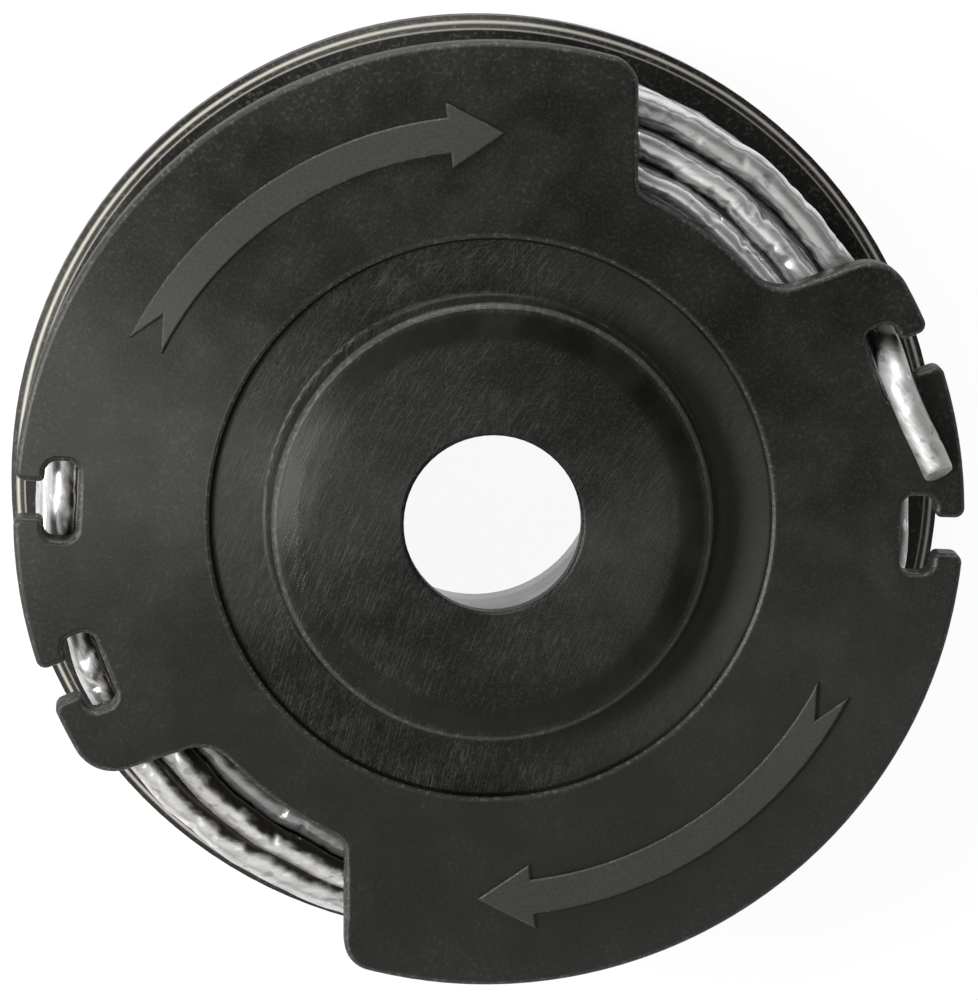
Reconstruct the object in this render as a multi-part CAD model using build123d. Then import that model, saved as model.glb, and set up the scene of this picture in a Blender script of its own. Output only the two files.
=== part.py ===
# Trimmer line spool: one black moulded spool and the line wound on it.
# Millimetres. The rear flange lies on z = 0, the arrows and the boss face +Z.
# Angles run from +X towards +Y, seen from the front.
import os
from math import atan2, cos, degrees, hypot, radians, sin, tan

from build123d import *

# Flanges
flange_radius = 29.0
rear_overhang = 0.3
rear_thickness = 2.4
rear_bevel_width = 0.9
rear_bevel_depth = 0.5
rear_edge_bevel = 0.35
front_inner_z = 17.6
front_thickness = 2.0
front_cone_rise = 0.7
front_edge_round = 0.35

# Hub and spring seat
hub_radius = 19.5
hub_wall = 1.9
seat_radius = 17.2
seat_depth = 0.6
seat_draft = 0.22
seat_edge_bevel = 0.15
seat_web = 1.9

# Boss round the bore
boss_radius = 13.6
boss_draft = 0.2
boss_wall_height = 2.35
boss_foot_round = 0.35
boss_edge_round = 0.45
boss_wall = 1.8
crown_width = 2.2
crown_rise = 0.45
crown_blend = 0.3
bore_radius = 5.4
bore_round = 0.25
bore_web = 1.6
sleeve_bore = 7.6
sleeve_wall = 1.6
sleeve_lead = 0.5
mouth_bevel = 0.6

# Feed lugs inside the hub, at the rear
lug_count = 8
lug_angle = 17.0
lug_flare = 2.5
lug_height = 2.2
lug_round = 0.5
lug_z_start = 3.0
lug_length = 6.0

# Windows in the front flange, two opposite each other
window_inner_radius = 21.75
window_straight_x = 8.78
window_slope_x = 20.4
window_slope_y = 14.92
window_slope_angle = 19.3
window_corner_round = 1.0
window_heel_round = 2.6
window_rim_round = 1.9
window_lobe_round = 2.6

# Line notches, two pairs opposite each other
notch_angles = (-2.3, 21.2)
notch_mouth = 2.2
notch_pocket_width = 4.8
notch_pocket_depth = 2.05
notch_lip_depth = 1.85
notch_pocket_round = 0.75
notch_lip_round = 0.4
notch_rim_round = 0.6

# Raised arrows, two opposite each other
arrow_relief = 0.3
arrow_bevel = 0.1
arrow_rim_gap = 5.48
arrow_shaft_width = 2.15
arrow_head_width = 4.05
arrow_tip_angle = 88.4
arrow_head_angle = 96.6
arrow_tail_angle = 153.3
arrow_vee_angle = 148.0
arrow_overlap_angle = 2.0

# Wound line
line_diameter = 2.0
line_turns = 7
line_rim_gap = 1.9
layer_pitch = 1.83
line_clearance = 0.05
crest_half_angle = 24.0
groove_drop = 0.62

# Free end of the line, led through one notch and laid on the flange
tail_diameter = 1.9
tail_start_angle = 47.0
tail_lead_angle = 33.0
tail_climb_start = 1.0
tail_climb_end = 1.65
tail_lift = 0.04
tail_bend = 1.9
tail_end_angle = 5.9
tail_end_drift = 1.3

# Room left by cuts and roots, and a quiet angle for the seams of round faces
cut_room = 1.0
root_depth = 0.5
corner_reach = 0.05
seam_angle = 83.0

# Places that follow from the sizes above
rear_radius = flange_radius + rear_overhang
front_rim_z = front_inner_z + front_thickness
seat_top_z = front_rim_z + front_cone_rise
seat_z = seat_top_z - seat_depth
hub_inner = hub_radius - hub_wall
boss_edge_z = seat_z + boss_wall_height
boss_edge_radius = boss_radius - boss_draft
boss_top_z = boss_edge_z + crown_rise
crown_radius = boss_edge_radius - crown_width
crown_slope = atan2(crown_rise, crown_width)
crown_round = crown_blend * crown_width / tan(crown_slope / 2)
boss_under_z = boss_top_z - bore_web
boss_inner = boss_edge_radius - boss_wall
sleeve_outer = sleeve_bore + sleeve_wall
cone_run = flange_radius - seat_radius
notch_outer = flange_radius - notch_lip_depth
notch_mid = notch_outer - notch_pocket_depth / 2
arrow_radius = flange_radius - arrow_rim_gap


def polar(radius, angle):
    """Place in the plane at a radius and an angle in degrees."""
    return (radius * cos(radians(angle)), radius * sin(radians(angle)))


def face_height(radius):
    """Height of the coned front face at a radius."""
    return front_rim_z + front_cone_rise * (flange_radius - radius) / cone_run


def near(vertices, places, reach):
    """Corners of a drawing that lie close to the given places."""
    return [v for v in vertices if min(hypot(v.X - p[0], v.Y - p[1]) for p in places) < reach]


def turned(place, angle):
    """A place turned about the axis."""
    c = cos(radians(angle))
    s = sin(radians(angle))
    return (place[0] * c - place[1] * s, place[0] * s + place[1] * c)


# Section of the moulding, turned about the axis
rear_outer_low = (rear_radius, 0)
seat_edge = (seat_radius, seat_top_z)
seat_foot = (boss_radius, seat_z)
boss_edge = (boss_edge_radius, boss_edge_z)
crown = (crown_radius, boss_top_z)
bore_lip = (bore_radius, boss_top_z)
section_points = [
    (hub_inner, mouth_bevel),
    (hub_inner + mouth_bevel, 0),
    rear_outer_low,
    (rear_radius, rear_thickness - rear_bevel_depth),
    (rear_radius - rear_bevel_width, rear_thickness),
    (hub_radius, rear_thickness),
    (hub_radius, front_inner_z),
    (flange_radius, front_inner_z),
    (flange_radius, front_rim_z),
    seat_edge,
    (seat_radius - seat_draft, seat_z),
    seat_foot,
    boss_edge,
    crown,
    bore_lip,
    (bore_radius, boss_under_z),
    (sleeve_bore, boss_under_z),
    (sleeve_bore, sleeve_lead),
    (sleeve_bore + sleeve_lead, 0),
    (sleeve_outer, 0),
    (sleeve_outer, boss_under_z),
    (boss_inner, boss_under_z),
    (boss_inner, seat_z - seat_web),
    (hub_inner, seat_z - seat_web),
]
section = make_face(Polyline(*section_points, close=True))
section = chamfer(near(section.vertices(), [rear_outer_low], corner_reach), rear_edge_bevel)
section = chamfer(near(section.vertices(), [seat_edge], corner_reach), seat_edge_bevel)
section = fillet(near(section.vertices(), [seat_foot], corner_reach), boss_foot_round)
section = fillet(near(section.vertices(), [boss_edge], corner_reach), boss_edge_round)
section = fillet(near(section.vertices(), [crown], corner_reach), crown_round)
section = fillet(near(section.vertices(), [bore_lip], corner_reach), bore_round)
moulding = Rot(0, 0, seam_angle) * revolve(Plane.XZ * section, Axis.Z)

# Outline of the front flange: a disc with the windows and notches taken out
past_rim = flange_radius + cut_room
slope = radians(window_slope_angle)


def slope_at_x(x):
    """Point on the sloping end of a window."""
    return (x, window_slope_y + (x - window_slope_x) * tan(slope))


def slope_at_radius(radius):
    """Point where the sloping end of a window meets a circle about the axis."""
    along = window_slope_x * cos(slope) + window_slope_y * sin(slope)
    apart = window_slope_y * cos(slope) - window_slope_x * sin(slope)
    step = (radius**2 - apart**2) ** 0.5 - along
    return (window_slope_x + step * cos(slope), window_slope_y + step * sin(slope))


straight_inner = (window_straight_x, (window_inner_radius**2 - window_straight_x**2) ** 0.5)
straight_rim = (window_straight_x, (flange_radius**2 - window_straight_x**2) ** 0.5)
heel = slope_at_radius(window_inner_radius)
lobe_rim = slope_at_radius(flange_radius)
window_wedge = make_face(
    Polyline(
        (window_straight_x, past_rim),
        (past_rim, past_rim),
        slope_at_x(past_rim),
        slope_at_x(window_straight_x),
        close=True,
    )
)
window = window_wedge - Circle(window_inner_radius)

mouth_run = past_rim - notch_mid
notch_pocket = RectangleRounded(notch_pocket_depth, notch_pocket_width, notch_pocket_round)
notch_pocket = Pos(notch_mid, 0) * notch_pocket
notch_slot = Pos(notch_mid + mouth_run / 2, 0) * Rectangle(mouth_run, notch_mouth)
notch = notch_pocket + notch_slot

outline = Rot(0, 0, seam_angle) * Circle(flange_radius)
for half_turn in (0, 180):
    outline -= Rot(0, 0, half_turn) * window
    for notch_angle in notch_angles:
        outline -= Rot(0, 0, half_turn + notch_angle) * notch
outline = outline.faces().sort_by(SortBy.AREA)[-1]

rim_reach = (flange_radius**2 - (notch_mouth / 2) ** 2) ** 0.5
heels = [turned(heel, a) for a in (0, 180)]
lobes = [turned(lobe_rim, a) for a in (0, 180)]
straights = [turned(straight_inner, a) for a in (0, 180)]
rim_corners = [turned(straight_rim, a) for a in (0, 180)]
notch_turns = [a + h for a in notch_angles for h in (0, 180)]
lips = [turned((notch_outer, s * notch_mouth / 2), a) for a in notch_turns for s in (-1, 1)]
mouths = [turned((rim_reach, s * notch_mouth / 2), a) for a in notch_turns for s in (-1, 1)]
outline = fillet(near(outline.vertices(), heels, corner_reach), window_heel_round)
outline = fillet(near(outline.vertices(), lobes, corner_reach), window_lobe_round)
outline = fillet(near(outline.vertices(), straights, corner_reach), window_corner_round)
outline = fillet(near(outline.vertices(), rim_corners, corner_reach), window_rim_round)
outline = fillet(near(outline.vertices(), lips, corner_reach), notch_lip_round)
outline = fillet(near(outline.vertices(), mouths, corner_reach), notch_rim_round)

# The front flange is cut to its outline, and its outer edges are rounded
cut_z = front_inner_z - line_clearance / 2
cut_height = boss_top_z + cut_room - cut_z
stencil = Pos(0, 0, cut_z) * extrude(Circle(past_rim) - outline, cut_height)
body = moulding - stencil
front_edges = []
seam_x, seam_y = polar(1.0, seam_angle)
for edge in body.edges():
    middle = edge @ 0.5
    reach = hypot(middle.X, middle.Y)
    on_face = abs(middle.Z - face_height(reach)) < corner_reach
    off_seam = abs(middle.X * seam_y - middle.Y * seam_x) > corner_reach
    if on_face and off_seam and reach > window_inner_radius - corner_reach:
        front_edges.append(edge)
body = fillet(front_edges, front_edge_round)

# Arrows stand up from the coned face by the relief
shaft_start = arrow_head_angle - arrow_overlap_angle
shaft_span = arrow_tail_angle - shaft_start
arrow_shaft_inner = arrow_radius - arrow_shaft_width / 2
arrow_shaft_outer = arrow_radius + arrow_shaft_width / 2
arrow_head = make_face(
    Polyline(
        polar(arrow_radius, arrow_tip_angle),
        polar(arrow_radius + arrow_head_width / 2, arrow_head_angle),
        polar(arrow_radius - arrow_head_width / 2, arrow_head_angle),
        close=True,
    )
)
arrow_shaft = make_face(
    [
        CenterArc((0, 0), arrow_shaft_outer, shaft_start, shaft_span),
        Line(polar(arrow_shaft_outer, arrow_tail_angle), polar(arrow_radius, arrow_vee_angle)),
        Line(polar(arrow_radius, arrow_vee_angle), polar(arrow_shaft_inner, arrow_tail_angle)),
        CenterArc((0, 0), arrow_shaft_inner, shaft_start, shaft_span),
        Line(
            polar(arrow_shaft_inner, shaft_start),
            polar(arrow_shaft_outer, shaft_start),
        ),
    ]
)
arrow = arrow_head + arrow_shaft
arrow_low_z = front_rim_z - root_depth
relief_section = make_face(
    Polyline(
        (seat_radius, arrow_low_z),
        (flange_radius, arrow_low_z),
        (flange_radius, front_rim_z + arrow_relief),
        (seat_radius, seat_top_z + arrow_relief),
        close=True,
    )
)
relief = Rot(0, 0, seam_angle) * revolve(Plane.XZ * relief_section, Axis.Z)
arrow_blank = Pos(0, 0, arrow_low_z) * extrude(arrow, cut_height)
arrow_solid = (relief & arrow_blank).solids()[0]
arrow_top = arrow_solid.faces().sort_by(Axis.Z)[-1]
arrow_solid = chamfer(arrow_top.edges(), arrow_bevel)
for half_turn in (0, 180):
    body += Rot(0, 0, half_turn) * arrow_solid

# Feed lugs on the hub wall, inside the rear opening
lug_inner = hub_inner - lug_height
lug_root = hub_inner + root_depth
lug_half = lug_angle / 2
root_half = lug_half + lug_flare
lug_corners = [polar(lug_inner, lug_half), polar(lug_inner, -lug_half)]
lug_drawing = make_face(
    [
        CenterArc((0, 0), lug_inner, -lug_half, lug_angle),
        Line(polar(lug_inner, lug_half), polar(lug_root, root_half)),
        CenterArc((0, 0), lug_root, -root_half, 2 * root_half),
        Line(polar(lug_root, -root_half), polar(lug_inner, -lug_half)),
    ]
)
lug_drawing = fillet(near(lug_drawing.vertices(), lug_corners, corner_reach), lug_round)
lug = Pos(0, 0, lug_z_start) * extrude(lug_drawing, lug_length)
for index in range(lug_count):
    body += Rot(0, 0, index * 360 / lug_count) * lug

# Wound line: the turns of the outer layer and of the front end are drawn, the rest is solid
pack_low = rear_thickness + line_clearance
pack_high = front_inner_z - line_clearance
pack_inner = hub_radius + line_clearance
turn_pitch = (pack_high - pack_low) / line_turns
line_layers = int((flange_radius - line_rim_gap - pack_inner) / layer_pitch)
strand = line_diameter / 2
first_layer = pack_inner + strand
last_layer = first_layer + (line_layers - 1) * layer_pitch
crest_width = strand * sin(radians(crest_half_angle))
groove_radius = last_layer + strand - groove_drop
groove_height = pack_high - groove_drop
pack_points = [(pack_inner, pack_low)]
for turn in range(line_turns):
    height = pack_low + turn_pitch * (turn + 0.5)
    if turn > 0:
        pack_points.append((groove_radius, height - turn_pitch / 2))
    else:
        pack_points.append((last_layer, pack_low))
    pack_points.append((last_layer + strand, height - crest_width))
    pack_points.append((last_layer + strand, height + crest_width))
pack_points.append((last_layer + crest_width, pack_high))
for layer in range(line_layers - 1, 0, -1):
    radius = first_layer + layer_pitch * layer
    pack_points.append((radius - crest_width, pack_high))
    pack_points.append((radius - layer_pitch / 2, groove_height))
    pack_points.append((radius - layer_pitch + crest_width, pack_high))
pack_points.append((pack_inner, pack_high))
pack_section = make_face(Polyline(*pack_points, close=True))
pack = revolve(Plane.XZ * pack_section, Axis.Z)


def tail_point(radius, angle, height):
    """Place on the free end of the line."""
    spot = polar(radius, angle)
    return (spot[0], spot[1], height)


# The free end climbs through the notch pocket and lies on the flange
tail_notch = notch_angles[1]
tail_low_z = pack_high - strand
tail_high_z = face_height(notch_mid) + tail_diameter / 2 + tail_lift
climb_start = tail_notch + degrees(tail_climb_start / notch_mid)
climb_end = tail_notch - degrees(tail_climb_end / notch_mid)
tail_path = FilletPolyline(
    tail_point(last_layer, tail_start_angle, tail_low_z),
    tail_point(last_layer, tail_lead_angle, tail_low_z),
    tail_point(notch_mid, climb_start, tail_low_z),
    tail_point(notch_mid, climb_end, tail_high_z),
    tail_point(notch_mid + tail_end_drift, tail_end_angle, tail_high_z),
    radius=tail_bend,
)
tail_plane = Plane(tail_path @ 0, z_dir=tail_path % 0)
tail = sweep(tail_plane * Circle(tail_diameter / 2), path=tail_path, transition=Transition.ROUND)
line = pack + tail

os.makedirs("parts", exist_ok=True)
body.label = "spool_body"
line.label = "trimmer_line"
export_step(body, "parts/spool_body.step")
export_step(line, "parts/trimmer_line.step")
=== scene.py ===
"""Looks of the trimmer line spool: worn satin black moulding, silver twisted line, white table."""

import math

import bpy
import numpy as np
from mathutils import Matrix, Vector


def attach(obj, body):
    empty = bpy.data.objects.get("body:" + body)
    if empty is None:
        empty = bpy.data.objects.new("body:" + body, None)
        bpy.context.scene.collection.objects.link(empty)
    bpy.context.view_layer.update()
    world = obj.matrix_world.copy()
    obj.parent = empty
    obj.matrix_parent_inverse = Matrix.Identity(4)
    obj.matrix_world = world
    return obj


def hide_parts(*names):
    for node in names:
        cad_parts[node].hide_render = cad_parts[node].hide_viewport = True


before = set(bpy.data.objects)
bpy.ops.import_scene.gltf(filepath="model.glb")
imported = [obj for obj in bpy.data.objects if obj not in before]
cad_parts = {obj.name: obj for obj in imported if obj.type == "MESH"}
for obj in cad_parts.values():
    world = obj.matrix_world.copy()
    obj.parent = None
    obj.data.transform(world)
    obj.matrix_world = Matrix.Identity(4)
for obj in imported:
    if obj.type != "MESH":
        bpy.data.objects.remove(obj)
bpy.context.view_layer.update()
MM = 0.001
scene = bpy.context.scene
scene.view_settings.view_transform = "Standard"


# Camera: above the front face, leaning towards the upper left
LEAN = math.radians(8.5)
LEAN_TOWARDS = math.radians(111.0)
SENSOR = 36.0
FOCAL = 7.425
DISTANCE = 0.452
AIM_HEIGHT = 19.3 * MM
AIM_LEFT, AIM_UP = 0.0014, 0.017


def photo_camera():
    """A long lens that sees the front face as the photo does."""
    back = Vector((
        math.sin(LEAN) * math.cos(LEAN_TOWARDS),
        math.sin(LEAN) * math.sin(LEAN_TOWARDS),
        math.cos(LEAN),
    ))
    right = (Vector((1, 0, 0)) - back * back.x).normalized()
    up = back.cross(right)
    eye = Vector((0, 0, AIM_HEIGHT)) + DISTANCE * (back - right * AIM_LEFT / FOCAL + up * AIM_UP / FOCAL)
    data = bpy.data.cameras.new("camera")
    data.sensor_width = SENSOR
    data.lens = SENSOR * FOCAL
    made = bpy.data.objects.new("camera", data)
    made.matrix_world = Matrix((
        (right.x, up.x, back.x, eye.x),
        (right.y, up.y, back.y, eye.y),
        (right.z, up.z, back.z, eye.z),
        (0, 0, 0, 1),
    ))
    scene.collection.objects.link(made)
    return made


scene.camera = photo_camera()


# Small helpers for node trees
class Graph:
    """Adds nodes to a tree and joins them."""

    def __init__(self, tree):
        self.tree = tree
        tree.nodes.clear()

    def node(self, kind, **settings):
        made = self.tree.nodes.new("ShaderNode" + kind)
        for key, value in settings.items():
            setattr(made, key, value)
        return made

    def put(self, socket, value):
        if isinstance(value, bpy.types.NodeSocket):
            self.tree.links.new(value, socket)
        elif value is not None:
            socket.default_value = value

    def fill(self, node, *values):
        """Sets or joins a node's inputs in order, and gives its first output."""
        for socket, value in zip(node.inputs, values):
            self.put(socket, value)
        return node.outputs[0]

    def math(self, operation, *values, clamp=False):
        return self.fill(self.node("Math", operation=operation, use_clamp=clamp), *values)

    def times(self, first, *others):
        for other in others:
            first = self.math("MULTIPLY", first, other)
        return first

    def plus(self, first, *others):
        for other in others:
            first = self.math("ADD", first, other)
        return first

    def without(self, mask, share=1.0):
        """What a mask leaves over when it takes a share."""
        return self.math("SUBTRACT", 1.0, self.times(mask, share))

    def ramp(self, value, low, high, out_low=0.0, out_high=1.0):
        """Soft step from one output to the other; low may be above high."""
        made = self.node("MapRange", interpolation_type="SMOOTHSTEP")
        return self.fill(made, value, low, high, out_low, out_high)

    def ridge(self, value, centre, half):
        """1 at a centre value, fading to 0 at a half width each side."""
        return self.ramp(self.math("ABSOLUTE", self.math("SUBTRACT", value, centre)), half, 0.0)

    def vector(self, x, y, z):
        return self.fill(self.node("CombineXYZ"), x, y, z)

    def split(self, vector):
        made = self.node("SeparateXYZ")
        self.put(made.inputs[0], vector)
        return made.outputs

    def length(self, x, y):
        return self.math("SQRT", self.plus(self.times(x, x), self.times(y, y)))

    def place(self):
        """Object coordinates in metres, then x, y, z and the radius in millimetres."""
        spot = self.node("TexCoord").outputs["Object"]
        x, y, z = (self.times(value, 1 / MM) for value in self.split(spot))
        return spot, x, y, z, self.length(x, y)

    def facing(self):
        """The three parts of the surface's direction."""
        return self.split(self.node("NewGeometry").outputs["Normal"])

    def noise(self, vector, scale, detail, roughness):
        made = self.node("TexNoise")
        self.put(made.inputs["Vector"], vector)
        made.inputs["Scale"].default_value = scale
        made.inputs["Detail"].default_value = detail
        made.inputs["Roughness"].default_value = roughness
        return made.outputs["Fac"]

    def blend(self, factor, a, b):
        made = self.node("Mix", data_type="RGBA")
        self.put(made.inputs["Factor"], factor)
        self.put(made.inputs["A"], a)
        self.put(made.inputs["B"], b)
        return made.outputs["Result"]

    def paint(self, colour, *coats):
        """Lays coats over a colour, each a mask, its share and its tint."""
        for mask, share, tint in coats:
            colour = self.blend(self.times(mask, share), colour, (*tint, 1))
        return colour

    def principled(self, links, values):
        """A Principled shader with linked inputs and plain values, joined to the output."""
        made = self.node("BsdfPrincipled")
        for name, value in (*links.items(), *values.items()):
            self.put(made.inputs[name], value)
        self.put(self.node("OutputMaterial").inputs["Surface"], made.outputs[0])


def new_material(name):
    """A material with an empty tree."""
    made = bpy.data.materials.new(name)
    made.use_nodes = True
    return made, Graph(made.node_tree)


# Zones of the moulding, in millimetres: where a mask begins and where it is full
FACE_RIM_RADIUS, FACE_RIM_HEIGHT, FACE_SLOPE = 29.0, 19.6, 0.0593
ARROW_RISE = (0.2, 0.27)
FLANGE_RADIUS = (17.2, 17.4)
FLANGE_MARGIN = (27.0, 28.8)
RECESS_RADIUS, RECESS_HEIGHT = (17.1, 16.9), (18.5, 19.0)
SEAT_RADIUS, SEAT_HEIGHT = (14.2, 14.6), (20.6, 20.2)
BOSS_RADIUS, BOSS_HEIGHT = (13.5, 12.8), (21.5, 21.9)
CROWN_INSIDE, CROWN_OUTSIDE, CROWN_HEIGHT = (11.0, 11.6), (13.0, 12.7), (21.4, 21.9)
FOOT_RADIUS, FOOT_HEIGHT = (17.22, 17.12), (21.5, 21.2)
BORE_RADIUS = (6.4, 6.0)
SLEEVE_RADIUS, SLEEVE_HEIGHT = (8.8, 8.4), (21.2, 20.8)
LIP_RADIUS, LIP_HALF, LIP_HEIGHT = 17.36, 0.17, (19.9, 20.2)
REAR_HEIGHT = (3.0, 2.3)
REAR_RIDGES = ((28.87, 0.17, 1.0), (28.45, 0.1, 0.5))

# Scratches: centre of their arcs, length and width of a stroke, and the noise levels that show
STEEP_STROKES = ((53.0, -28.0), 1.9, 0.06, 0.54, 0.7)
LEVEL_STROKES = ((-41.0, 17.0), 1.4, 0.06, 0.56, 0.72)
CROSS_STROKES = ((11.0, -38.0), 1.2, 0.055, 0.56, 0.72)
LONG_STROKES = ((70.0, 10.0), 5.0, 0.065, 0.6, 0.72)


def strokes(g, x, y, centre, long, wide, low, high):
    """Fine scratches on arcs about a far centre, as a mask from 0 to 1."""
    dx = g.math("SUBTRACT", x, centre[0])
    dy = g.math("SUBTRACT", y, centre[1])
    along = g.times(g.math("ARCTAN2", dy, dx), math.hypot(*centre) / long)
    across = g.math("DIVIDE", g.length(dx, dy), wide)
    return g.ramp(g.noise(g.vector(along, across, centre[0]), 1.0, 1.0, 0.6), low, high)


def spool_plastic():
    """Satin black moulding: turned mould marks, scuffed seat and boss, matt arrows, pale worn edges that also
    carry painted highlights; a painted sheen on the seat's sides and the flange's lower half, painted
    highlights on the rear ridges and a painted reflection on the bore's sleeve.
    """
    made, g = new_material("spool_plastic")
    spot, x, y, z, radius = g.place()

    # Zones by radius and height
    face = g.math("MULTIPLY_ADD", g.math("SUBTRACT", FACE_RIM_RADIUS, radius), FACE_SLOPE, FACE_RIM_HEIGHT)
    flange = g.ramp(radius, *FLANGE_RADIUS)
    arrow = g.times(g.ramp(g.math("SUBTRACT", z, face), *ARROW_RISE), flange)
    recess = g.times(g.ramp(radius, *RECESS_RADIUS), g.ramp(z, *RECESS_HEIGHT))
    low_recess = g.ramp(z, *SEAT_HEIGHT)
    seat = g.times(recess, g.ramp(radius, *SEAT_RADIUS))
    boss = g.times(g.ramp(radius, *BOSS_RADIUS), g.ramp(z, *BOSS_HEIGHT))
    crown = g.times(g.ramp(radius, *CROWN_INSIDE), g.ramp(radius, *CROWN_OUTSIDE), g.ramp(z, *CROWN_HEIGHT))
    rear = g.ramp(z, *REAR_HEIGHT)
    sleeve = g.times(g.ramp(radius, *SLEEVE_RADIUS), g.ramp(z, *SLEEVE_HEIGHT))

    # Grain of the moulding, cloudy tone and scuffs
    grain = g.noise(spot, 5200.0, 1.0, 0.65)
    fine = g.noise(spot, 15000.0, 0.0, 0.6)
    cloud = g.noise(spot, 230.0, 2.0, 0.6)
    patch = g.ramp(g.noise(spot, 420.0, 1.0, 0.5), 0.42, 0.6)
    speck = g.ramp(g.noise(spot, 3600.0, 1.0, 0.6), 0.55, 0.72)
    steep = strokes(g, x, y, *STEEP_STROKES)
    level = strokes(g, x, y, *LEVEL_STROKES)
    cross = strokes(g, x, y, *CROSS_STROKES)
    long_marks = strokes(g, x, y, *LONG_STROKES)
    scuff = g.plus(
        g.times(steep, 0.85),
        g.times(level, patch, 0.7),
        g.times(cross, g.math("SUBTRACT", 0.7, g.times(patch, 0.6))),
        g.times(long_marks, 0.4),
        g.times(speck, 0.35),
    )
    scuff = g.times(scuff, g.without(crown, 0.95), g.without(boss, 0.35))
    scuff = g.times(scuff, g.ramp(x, 9.0, 1.0, 0.35, 1.0), g.ramp(cloud, 0.36, 0.6, 0.45, 1.3))
    on_flange = g.math("SUBTRACT", g.times(flange, 0.22), g.times(arrow, 0.12))
    on_flange = g.times(on_flange, g.ramp(cloud, 0.42, 0.62))
    scuff = g.math("MULTIPLY", scuff, g.plus(recess, on_flange), clamp=True)

    # Worn edges, which also carry a painted highlight: the rounds and bevels, where the surface leans between
    # flat and upright
    upward = g.math("ABSOLUTE", g.facing()["Z"])
    wear_and_highlight = g.times(g.ramp(upward, 0.985, 0.9), g.ramp(upward, 0.12, 0.35), g.without(rear, 0.75))
    hollow = g.times(g.ramp(radius, *FOOT_RADIUS), g.ramp(z, *FOOT_HEIGHT))
    hollow = g.math("MAXIMUM", hollow, g.ramp(radius, *BORE_RADIUS))
    # Painted highlight: a pale line along the top edge of the seat's step
    lip_highlight = g.times(g.ridge(radius, LIP_RADIUS, LIP_HALF), g.ramp(z, *LIP_HEIGHT), 0.45)
    wear_and_highlight = g.math("MAXIMUM", g.times(wear_and_highlight, g.without(hollow)), lip_highlight)
    # On the boss's edge the band is less speckled, a smoother painted highlight
    wear_and_highlight = g.times(wear_and_highlight, g.ramp(speck, 0.0, 0.5, g.ramp(radius, 14.5, 13.5, 0.35, 0.5), 1.0))

    # Two ridges on the bevel of the rear flange: real relief, painted bright as a painted highlight
    ridges_and_highlights = g.plus(*(g.times(g.ridge(radius, centre, half), share) for centre, half, share in REAR_RIDGES))
    ridges_and_highlights = g.times(ridges_and_highlights, rear)

    # Painted sheen: lighter left and right sides of the seat and a lighter lower half of the flange, where
    # the lamps' sheen falls; and a dusty margin of the flange
    seat_right_sheen = g.times(recess, g.ramp(x, -2.0, 11.0), low_recess)
    seat_left_sheen = g.times(recess, g.ramp(g.math("DIVIDE", x, radius), -0.86, -0.97), low_recess)
    lower_half_sheen = g.times(flange, 0.7, g.ramp(y, 4.0, -14.0))
    margin = g.times(g.ramp(radius, *FLANGE_MARGIN), g.without(rear), g.ramp(speck, 0.0, 0.4, 0.2, 0.8))
    sheen_and_dust = g.math("ADD", g.plus(seat_right_sheen, lower_half_sheen, seat_left_sheen), margin, clamp=True)
    dust = g.plus(g.ramp(cloud, 0.42, 0.64, 0.0, 0.3), g.ramp(radius, 25.5, 28.7, 0.0, 0.45))

    # Colour
    colour = g.blend(g.ramp(cloud, 0.3, 0.7), (0.0013, 0.0013, 0.0012, 1), (0.0062, 0.0062, 0.0057, 1))
    grains = g.times(g.ramp(grain, 0.48, 0.7), g.math("SUBTRACT", 0.5, g.times(crown, 0.4)))
    arrow_tone = g.blend(g.ramp(grain, 0.35, 0.65), (0.028, 0.0282, 0.0267, 1), (0.035, 0.0352, 0.0334, 1))
    colour = g.paint(
        colour,
        (grains, 1.0, (0.016, 0.016, 0.0148)),
        (g.times(speck, flange, dust), 1.0, (0.032, 0.0318, 0.0297)),
        # Painted sheen on the seat's sides and the flange's lower half, with real dust on the margin
        (sheen_and_dust, 0.75, (0.015, 0.0151, 0.0141)),
        (scuff, 0.65, (0.052, 0.0517, 0.048)),
    )
    colour = g.blend(g.times(arrow, 0.92), colour, arrow_tone)
    colour = g.paint(
        colour,
        (g.times(speck, rear), 0.4, (0.06, 0.057, 0.05)),
        # Painted highlight along the rear flange's ridges
        (ridges_and_highlights, 0.85, (0.46, 0.43, 0.375)),
        # Painted reflection: the sleeve inside the bore is painted lighter, standing in for the white table
        # it mirrors
        (sleeve, 0.8, (0.09, 0.09, 0.087)),
        # Pale worn edges, partly real wear and partly a painted highlight on the rounds
        (wear_and_highlight, 0.6, (0.095, 0.093, 0.086)),
    )

    # Roughness: a rough seat and arrows, a glossier crown, rear flange and sleeve
    rough = g.plus(
        g.ramp(cloud, 0.3, 0.7, 0.36, 0.42),
        g.times(g.ramp(fine, 0.35, 0.65), 0.04),
        g.times(scuff, 0.04),
        g.times(arrow, 0.12),
        g.times(sleeve, -0.22),
        g.times(rear, -0.08),
        g.times(crown, -0.12),
        g.times(seat, 0.13),
    )

    # Relief, in millimetres
    relief = g.plus(g.times(grain, 0.006), g.times(fine, 0.003), g.times(steep, recess, 0.003))
    relief = g.plus(g.times(relief, g.without(arrow, 0.6)), g.times(ridges_and_highlights, 0.035))
    bump = g.node("Bump")
    bump.inputs["Strength"].default_value = 1.0
    bump.inputs["Distance"].default_value = MM
    g.put(bump.inputs["Height"], relief)

    g.principled(
        {
            "Base Color": colour,
            "Roughness": rough,
            "Normal": bump.outputs["Normal"],
            "Tangent": g.node("Tangent", direction_type="RADIAL", axis="Z").outputs[0],
        },
        {
            "Specular IOR Level": 0.28,
            "Specular Tint": (1.0, 1.0, 0.93, 1),
            "Anisotropic": 0.74,
            "Anisotropic Rotation": 0.25,
            "IOR": 1.5,
        },
    )
    return made


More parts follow.
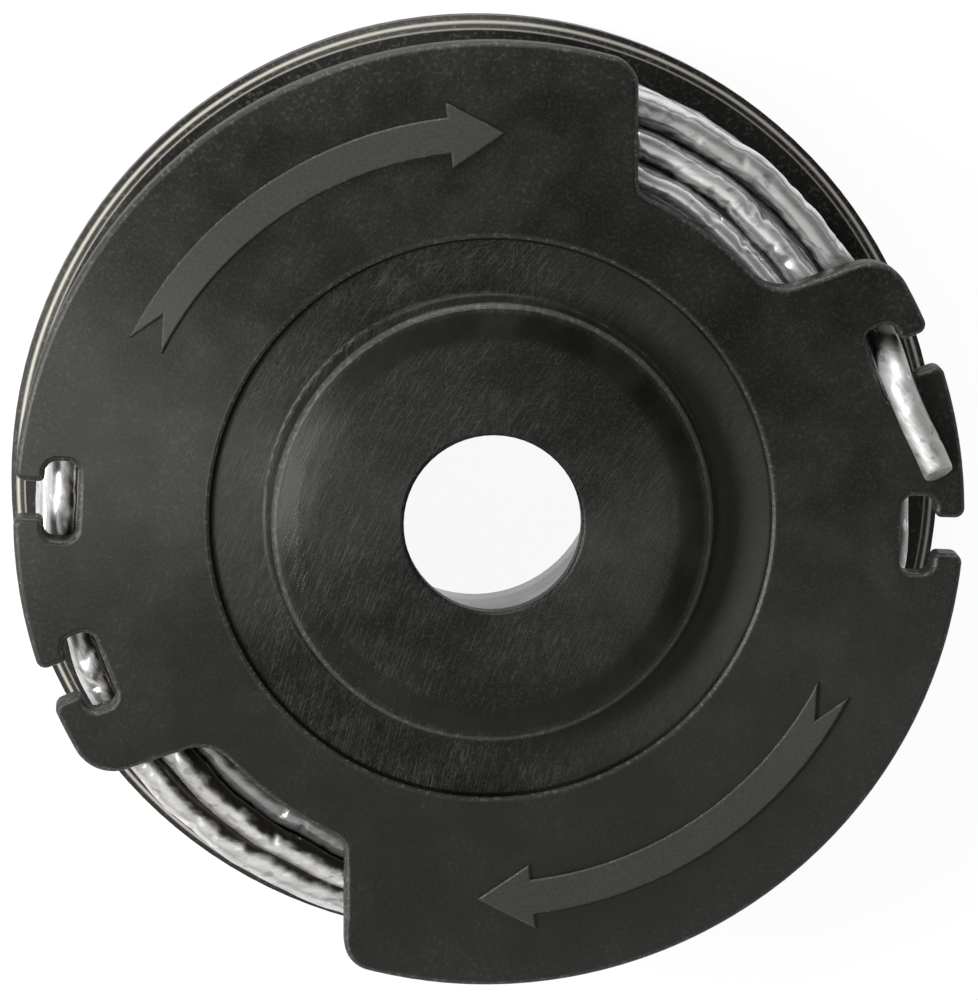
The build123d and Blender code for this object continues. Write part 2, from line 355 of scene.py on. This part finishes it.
# Zones of the line, in millimetres: where a mask begins and where it is full
LEAD_FROM_END = (17.0, 15.0)
LEAD_ON_FACE, LEAD_SUNK = (18.4, 19.6), (19.3, 17.6)
UPPER_WINDOW, UPPER_WINDOW_END = (0.0, 8.0), (8.0, 12.0)
LOWER_WINDOW = (-4.0, -8.0)
THIRD_UPPER, THIRD_LOWER, OUTER_STRAND = (23.6, 23.0), (23.7, 23.1), (25.2, 25.8)
NOTCH_X, NOTCH_TOP, NOTCH_FLOOR, NOTCH_HEIGHT = (23.8, 24.8), (1.6, 0.8), (-5.5, -4.0), (13.5, 14.5)


def line_nylon(length):
    """Silver grey nylon line: satin gloss, drawn streaks along the strand; painted shade in the gaps between
    turns, by the notch, on the free end's far side and on some strands of the windows, and painted highlights
    on the strands of the upper window.
    """
    made, g = new_material("line_nylon")
    along, around, over = g.split(g.node("Attribute", attribute_name="strand").outputs["Vector"])

    def drawn(lengthwise, crosswise, detail, roughness):
        """Noise that follows the strand."""
        spot = g.vector(g.times(along, lengthwise), g.times(around, crosswise), g.times(over, crosswise))
        return g.noise(spot, 1.0, detail, roughness)

    streak = drawn(0.2, 3.0, 2.0, 0.6)
    patch = drawn(0.75, 1.0, 2.0, 0.6)
    mark = drawn(1.3, 1.7, 1.0, 0.5)

    # Zones by place, and by how far the surface faces away from the spool's axis
    _, x, y, z, radius = g.place()
    facing = g.facing()
    outward = g.math("DIVIDE", g.plus(g.times(x, facing["X"]), g.times(y, facing["Y"])), radius)
    uneven = g.math("SUBTRACT", patch, 0.5)
    edge = g.plus(outward, g.times(uneven, 0.35))
    lead = g.ramp(along, *(length - back for back in LEAD_FROM_END))
    wound = g.without(lead)
    upper = g.times(g.ramp(y, *UPPER_WINDOW), wound)
    third_upper = g.times(upper, g.ramp(radius, *THIRD_UPPER))
    third_lower = g.times(g.ramp(radius, *THIRD_LOWER), g.ramp(y, *LOWER_WINDOW))
    outer = g.times(g.ramp(radius, *OUTER_STRAND), g.ramp(y, *UPPER_WINDOW_END))
    far_side = g.times(lead, g.ramp(edge, 0.2, 0.85))
    by_notch = g.times(g.ramp(x, *NOTCH_X), g.ramp(y, *NOTCH_TOP), g.ramp(y, *NOTCH_FLOOR))
    by_notch = g.times(by_notch, g.ramp(z, *NOTCH_HEIGHT), wound)

    # Painted shade: the inner side of each turn, and the free end where it sinks deep in the notch, are
    # painted dark where shade falls
    open_side = g.plus(outward, g.times(uneven, 1.1), g.times(upper, 0.5), g.times(third_upper, 0.35))
    unshaded = g.math("MAXIMUM", g.ramp(open_side, -0.62, -0.08), g.ramp(z, *LEAD_ON_FACE))
    unshaded = g.times(unshaded, g.without(g.times(lead, g.ramp(z, *LEAD_SUNK)), 0.93))

    colour = g.blend(g.ramp(patch, 0.3, 0.7), (0.5, 0.494, 0.485, 1), (0.68, 0.675, 0.666, 1))
    colour = g.paint(
        colour,
        # Painted highlight: the strands of the upper window lighter, the third strand there lighter still
        (upper, 0.5, (0.92, 0.915, 0.91)),
        (third_upper, 1.0, (0.98, 0.975, 0.97)),
        # Painted shade on the free end's far side and on the top turn by the notch
        (far_side, 0.6, (0.22, 0.217, 0.212)),
        (by_notch, 0.7, (0.1, 0.097, 0.092)),
        (g.ramp(mark, 0.37, 0.28), 0.55, (0.95, 0.945, 0.94)),
        (g.ramp(mark, 0.6, 0.7), 0.5, (0.16, 0.156, 0.15)),
        # Painted shade: the third strand of the lower window and the outer strand at the upper window's end
        # darker
        (third_lower, 0.7, (0.1, 0.097, 0.092)),
        (outer, 0.5, (0.14, 0.136, 0.13)),
        # Painted shade: a dark line just inside the outer side of the upper window's strands; painted
        # reflection: a bright rim along that side
        (g.times(upper, g.ridge(edge, 0.7, 0.09)), 0.75, (0.07, 0.068, 0.065)),
        (g.times(upper, g.ramp(edge, 0.8, 0.92)), 0.6, (0.8, 0.8, 0.81)),
        (g.ramp(streak, 0.5, 0.66), 0.4, (0.34, 0.332, 0.322)),
    )
    # Painted shade: the shaded parts of the line take a dark brown
    colour = g.blend(unshaded, (0.045, 0.039, 0.032, 1), colour)
    rough = g.plus(g.ramp(streak, 0.3, 0.7, 0.21, 0.34), g.times(lead, 0.2))
    g.principled(
        {"Base Color": colour, "Roughness": rough},
        {"Metallic": 0.7, "IOR": 1.53, "Coat Weight": 0.15, "Coat Roughness": 0.12},
    )
    return made


# Wound line: one route, from the hub through 28 turns to the free end, in millimetres and degrees
LAYER_RADII = (20.55, 22.5, 24.35, 26.1)
TURNS = 7
LOW_TURN, TURN_STEP = 3.53, 2.157
STEP_ANGLE = 305.0
STEP_WIDTH = 0.11
POINTS_PER_TURN = 36
LAST_TURN = 0.735
ROUTE_SWELL = 1.0 / (1.0 - (1.0 - math.cos(2 * math.pi / POINTS_PER_TURN)) / 4)
RADIUS_WOBBLE, HEIGHT_WOBBLE = (0.07, 0.6), (0.05, 2.1)

# Turns pressed out of place: turn, shift, first and last angle, soft margin
RADIUS_SHIFTS = (
    (27, 0.34, 44.0, 62.0, 24.0),
    (27, -0.55, 250.0, 262.0, 28.0),
    (24, 0.75, 172.0, 184.0, 25.0),
    (13, -0.5, 24.0, 42.0, 20.0),
    (14, -0.38, 24.0, 42.0, 20.0),
    (14, -0.1, 219.0, 250.0, 20.0),
)
HEIGHT_SHIFTS = ((13, -0.9, 218.0, 252.0, 18.0),)
SLACK_SHARE, SLACK_ANGLES = 0.16, (-10.0, 8.0, 16.0)

# Free end: radius, angle and height of its control points
TAIL = (
    (26.2, 33.0, 16.4),
    (26.45, 29.0, 15.95),
    (26.5, 26.2, 15.95),
    (26.35, 24.0, 16.7),
    (26.2, 21.6, 18.7),
    (26.1, 19.2, 20.4),
    (26.15, 16.4, 20.8),
    (26.5, 12.6, 20.76),
    (27.02, 8.4, 20.72),
    (27.4, 6.0, 20.7),
)

# Strand: its form, and its spacing of rings where it shows, at the rim and hidden
LINE_HALF = 0.93
AROUND = 22
TWIST_LENGTH = 17.0
WINDOW_GAP, SHOWN_GAP, OUTER_GAP, HIDDEN_GAP = 0.17, 0.35, 0.85, 3.0
SHOWN_RADIUS, SHOWN_HEIGHT = 21.4, 15.3
WINDOW_ANGLES, WINDOW_HEIGHT = (15.0, 98.0), 17.5
OUTER_RADIUS = 25.2
CUT_SLANT, CUT_LENGTH = 0.5, 1.2
END_ROUND, END_LENGTH = 0.06, 0.1

# Nicks and dents: spacing, width, reach round the strand, lean and depth, each from and to
NICK_SEED = 7
NICK_SIDE = (-0.6, 3.3)
NICK_HALF_RUN = 2.5
NICKS = ((0.5, 2.0), (0.15, 0.32), (0.35, 0.7), (-0.6, 0.8), (0.09, 0.23))
NICK_SIGNS = (1.0, 1.0, -0.35)
DENTS = ((1.2, 4.5), (0.5, 1.1), (0.4, 0.8), (-0.8, 0.8), (0.04, 0.11))
TAIL_FREE = 13.0
# Creases of the free end: distance from the end, angle, width, reach, lean and depth
TAIL_CREASES = (
    (2.4, 45.0, 0.17, 0.75, -0.67, 0.1),
    (4.65, 105.0, 0.15, 0.9, 0.27, 0.08),
    (5.0, 110.0, 0.45, 0.8, 0.3, 0.09),
)


def smooth(t):
    """Soft step from 0 to 1."""
    t = min(max(t, 0.0), 1.0)
    return t * t * (3 - 2 * t)


def hump(angle, low, high, soft):
    """1 between two angles, fading over a soft margin."""
    return smooth((angle - low) / soft + 1) * smooth((high - angle) / soft + 1)


def shifted(shifts, turn, angle):
    """How far a turn is pressed out of place at an angle."""
    return sum(shift * hump(angle, *span) for at, shift, *span in shifts if at == turn)


def turn_levels():
    """Layer radius and height of every turn, wound down and up by turns."""
    levels = []
    for layer, radius in enumerate(LAYER_RADII):
        order = range(TURNS) if layer % 2 else range(TURNS - 1, -1, -1)
        levels += [(radius, LOW_TURN + TURN_STEP * k) for k in order]
    return levels


def wobble(turn, angle, seed):
    """Slow irregular drift of a turn, about -1 to 1."""
    a = math.radians(angle)
    return (
        0.5 * math.sin(2 * a + 1.7 * turn + seed)
        + 0.3 * math.sin(3 * a - 2.3 * turn + 2 * seed)
        + 0.2 * math.sin(7 * a + 0.9 * turn + 3 * seed)
    )


def coil_points():
    """Control points of the wound turns."""
    levels = turn_levels()
    points = []
    total = len(levels) - 1 + LAST_TURN
    for index in range(int(total * POINTS_PER_TURN) + 1):
        q = index / POINTS_PER_TURN
        nearest = round(q)
        turn = min(int(q), len(levels) - 1)
        radius, height = levels[turn]
        if 0 < nearest < len(levels) and abs(q - nearest) < STEP_WIDTH:
            share = smooth((q - nearest + STEP_WIDTH) / (2 * STEP_WIDTH))
            before, after = levels[nearest - 1], levels[nearest]
            radius = before[0] + (after[0] - before[0]) * share
            height = before[1] + (after[1] - before[1]) * share
        angle = (STEP_ANGLE - 360.0 * (q - int(q))) % 360.0
        radius += RADIUS_WOBBLE[0] * wobble(turn, angle, RADIUS_WOBBLE[1])
        height += HEIGHT_WOBBLE[0] * wobble(turn, angle, HEIGHT_WOBBLE[1])
        radius += shifted(RADIUS_SHIFTS, turn, angle)
        height += shifted(HEIGHT_SHIFTS, turn, angle)
        slack = (angle + 180.0) % 360.0 - 180.0
        radius -= SLACK_SHARE * (radius - LAYER_RADII[0]) * hump(slack, *SLACK_ANGLES)
        points.append((radius * ROUTE_SWELL, angle, height))
    return points


def route_line():
    """Points read from the route's smooth curve, in millimetres."""
    curve = bpy.data.curves.new("line_route", "CURVE")
    curve.dimensions = "3D"
    spline = curve.splines.new("NURBS")
    control = coil_points() + list(TAIL)
    spline.points.add(len(control) - 1)
    for point, (radius, angle, height) in zip(spline.points, control):
        a = math.radians(angle)
        point.co = (radius * math.cos(a), radius * math.sin(a), height, 1.0)
    spline.order_u = 3
    spline.use_endpoint_u = True
    spline.resolution_u = 10
    holder = bpy.data.objects.new("line_route", curve)
    mesh = bpy.data.meshes.new_from_object(holder)
    line = np.array([v.co for v in mesh.vertices], float)
    bpy.data.objects.remove(holder)
    bpy.data.curves.remove(curve)
    bpy.data.meshes.remove(mesh)
    return line


def resample(line):
    """Places along the line, close together where it shows and wide apart where it doesn't."""
    step = np.linalg.norm(np.diff(line, axis=0), axis=1)
    run = np.concatenate(([0.0], np.cumsum(step)))
    radius = np.hypot(line[:, 0], line[:, 1])
    half_turn = np.degrees(np.arctan2(line[:, 1], line[:, 0])) % 180.0
    shown = (radius > SHOWN_RADIUS) & (line[:, 2] > SHOWN_HEIGHT)
    window = shown & (half_turn > WINDOW_ANGLES[0]) & (half_turn < WINDOW_ANGLES[1])
    window |= line[:, 2] > WINDOW_HEIGHT
    outer = radius > OUTER_RADIUS
    gap = np.where(window, WINDOW_GAP, np.where(shown, SHOWN_GAP, np.where(outer, OUTER_GAP, HIDDEN_GAP)))
    count = np.concatenate(([0.0], np.cumsum(step / gap[1:])))
    where = np.interp(np.linspace(0.0, count[-1], int(count[-1]) + 1), count, run)
    places = np.stack([np.interp(where, run, line[:, k]) for k in range(3)], axis=1)
    detail = np.interp(where, run, np.where(shown | outer, 1.0, 0.0))
    return places, where, detail


def strand_relief(run, spin):
    """Share by which the strand swells or sinks: lumps, then nicks, dents and the free end's creases."""
    random = np.random.default_rng(NICK_SEED)
    relief = 0.012 * np.sin(run[:, None] * 1.9 + 3 * spin) + 0.014 * np.sin(run[:, None] * 0.77 - 2 * spin)

    def nick(centre, where, wide, reach, lean, deep):
        first, last = np.searchsorted(run, (centre - NICK_HALF_RUN, centre + NICK_HALF_RUN))
        away = (spin - where + math.pi) % (2 * math.pi) - math.pi
        along = run[first:last, None] - centre - away * lean
        relief[first:last] -= deep * np.exp(-((along / wide) ** 2) - (away / reach) ** 2)

    def scatter(spacing, wides, reaches, leans, depths, signs=None):
        spaces = random.uniform(*spacing, int(run[-1] / (sum(spacing) / 2)))
        for centre in np.cumsum(spaces):
            if centre > run[-1] - TAIL_FREE:
                break
            where = random.uniform(*NICK_SIDE)
            wide, reach, lean, deep = (random.uniform(*span) for span in (wides, reaches, leans, depths))
            nick(centre, where, wide, reach, lean, deep * random.choice(signs) if signs else deep)

    scatter(*NICKS, NICK_SIGNS)
    scatter(*DENTS)
    for back_from_end, where, wide, reach, lean, deep in TAIL_CREASES:
        nick(run[-1] - back_from_end, math.radians(where), wide, reach, lean, deep)
    return relief


def wound_line():
    """The line's strand swept along its route, with the nicks and creases of a wound line."""
    line, run, detail = resample(route_line())
    tangent = np.gradient(line, axis=0)
    tangent /= np.linalg.norm(tangent, axis=1)[:, None]
    axis_out = np.stack([line[:, 0], line[:, 1], np.zeros(len(line))], axis=1)
    side = axis_out - tangent * np.sum(axis_out * tangent, axis=1)[:, None]
    side /= np.linalg.norm(side, axis=1)[:, None]
    rise = np.cross(tangent, side)
    from_end = run[-1] - run
    sway = 0.05 * np.sin(run * 0.83) + 0.04 * np.sin(run * 1.37 + 1.0)
    line = line + side * (sway * detail * np.clip(from_end / 20.0, 0, 1))[:, None]

    # Rings of the strand, angles counted from its outer side over its top, with a slanted cut at the end
    spin = np.linspace(0.0, 2 * math.pi, AROUND, endpoint=False)[None, :]
    size = LINE_HALF * (1 + detail[:, None] * strand_relief(run, spin))
    end = np.clip(from_end / END_LENGTH, 0, 1)[:, None]
    size = size * (1 - END_ROUND + END_ROUND * np.sqrt(end))
    slant = np.clip(1 - from_end / CUT_LENGTH, 0, 1)[:, None] * CUT_SLANT
    ring = (
        line[:, None, :]
        + side[:, None, :] * (size * np.cos(spin))[:, :, None]
        + rise[:, None, :] * (size * np.sin(spin))[:, :, None]
        - tangent[:, None, :] * (slant * size * np.sin(spin))[:, :, None]
    )
    rows = len(line)
    faces = []
    for i in range(rows - 1):
        a, b = i * AROUND, (i + 1) * AROUND
        for k in range(AROUND):
            n = (k + 1) % AROUND
            faces.append((a + k, a + n, b + n, b + k))
    faces.append(tuple(range(AROUND - 1, -1, -1)))
    faces.append(tuple((rows - 1) * AROUND + k for k in range(AROUND)))
    mesh = bpy.data.meshes.new("wound_line")
    mesh.from_pydata((ring.reshape(-1, 3) * MM).tolist(), [], faces)
    mesh.update()
    mesh.polygons.foreach_set("use_smooth", [True] * (len(faces) - 2) + [False, False])

    # Where each point lies along and round the twisted strand, for its material
    twist = run[:, None] * 2 * math.pi / TWIST_LENGTH
    strand = mesh.attributes.new("strand", "FLOAT_VECTOR", "POINT")
    flat = np.stack([run[:, None] + 0 * spin, np.cos(spin + twist), np.sin(spin + twist)], axis=2)
    strand.data.foreach_set("vector", flat.astype(np.float32).ravel())
    piece = bpy.data.objects.new("wound_line", mesh)
    scene.collection.objects.link(piece)
    return piece, float(run[-1])


line_piece, line_length = wound_line()
nylon = line_nylon(line_length)
for node, material in (("spool_body", spool_plastic()), ("trimmer_line", nylon)):
    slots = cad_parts[node].data.materials
    slots.clear()
    slots.append(material)

line_piece.data.materials.append(nylon)
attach(line_piece, "root")
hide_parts("trimmer_line")


# White table, pale all over, which keeps a faint shadow
TABLE_REACH = 3.0
TABLE_DROP = 0.02 * MM


def white_table():
    """White where it is seen, and plain matt for the light it throws on the part."""
    made, g = new_material("white_table")
    path = g.node("LightPath").outputs
    seen = g.math("MAXIMUM", path["Is Camera Ray"], path["Is Glossy Ray"])
    seen = g.math("MAXIMUM", seen, path["Is Transmission Ray"])
    matt = g.fill(g.node("BsdfDiffuse"), (0.8, 0.8, 0.8, 1))
    thin = g.fill(g.node("BsdfDiffuse"), (0.1, 0.1, 0.1, 1))
    glow = g.fill(g.node("Emission"), (1, 1, 1, 1), 0.93)
    pale = g.fill(g.node("AddShader"), thin, glow)
    both = g.fill(g.node("MixShader"), seen, matt, pale)
    g.put(g.node("OutputMaterial").inputs["Surface"], both)
    return made


table_mesh = bpy.data.meshes.new("table")
corners = [(TABLE_REACH * x, TABLE_REACH * y, 0) for x, y in ((-1, -1), (1, -1), (1, 1), (-1, 1))]
table_mesh.from_pydata(corners, [], [(0, 1, 2, 3)])
table = bpy.data.objects.new("table", table_mesh)
table.location.z = -TABLE_DROP
scene.collection.objects.link(table)
table_mesh.materials.append(white_table())


# Soft studio light: a ceiling that darkens towards the upper right, a bright horizon, two lamps
CEILING_TOWARDS, CEILING_RAMP = (-0.906, -0.423), (-0.42, 0.12, 0.0, 0.98)
HORIZON_TOWARDS, HORIZON_RAMP = (0.17, 0.985), (0.3, 1.0, 0.6, 1.0)
CEILING_FROM = (0.28, 0.6)


def studio_world():
    """The sky that lights the part; the camera sees a plain pale one."""
    made = bpy.data.worlds.new("studio")
    made.use_nodes = True
    g = Graph(made.node_tree)
    east, north, height = g.split(g.node("TexCoord").outputs["Generated"])

    def towards(direction):
        return g.plus(g.times(east, direction[0]), g.times(north, direction[1]))

    ceiling = g.ramp(towards(CEILING_TOWARDS), *CEILING_RAMP)
    horizon = g.ramp(towards(HORIZON_TOWARDS), *HORIZON_RAMP)
    high = g.ramp(height, *CEILING_FROM)
    sky = g.node("Background")
    g.put(sky.inputs["Strength"], g.plus(g.times(ceiling, high), g.times(horizon, g.without(high))))
    seen = g.node("LightPath").outputs["Is Camera Ray"]
    both = g.fill(g.node("MixShader"), seen, sky.outputs[0], g.node("Background").outputs[0])
    g.put(g.node("OutputWorld").inputs["Surface"], both)
    return made


def lamp(name, place, aim, size, power):
    """A rectangular soft lamp that the camera doesn't see."""
    data = bpy.data.lights.new(name, "AREA")
    data.shape = "RECTANGLE"
    data.size, data.size_y = size
    data.energy = power
    made = bpy.data.objects.new(name, data)
    made.location = place
    made.rotation_mode = "QUATERNION"
    made.rotation_quaternion = (Vector(aim) - Vector(place)).to_track_quat("-Z", "Y")
    made.visible_camera = False
    scene.collection.objects.link(made)


scene.world = studio_world()
lamp("key", (-0.13, 0.01, 0.16), (-0.01, 0, 0.02), (0.1, 0.06), 0.44)
lamp("back", (-0.04, 0.32, 0.11), (0, 0, 0.015), (0.22, 0.16), 0.75)
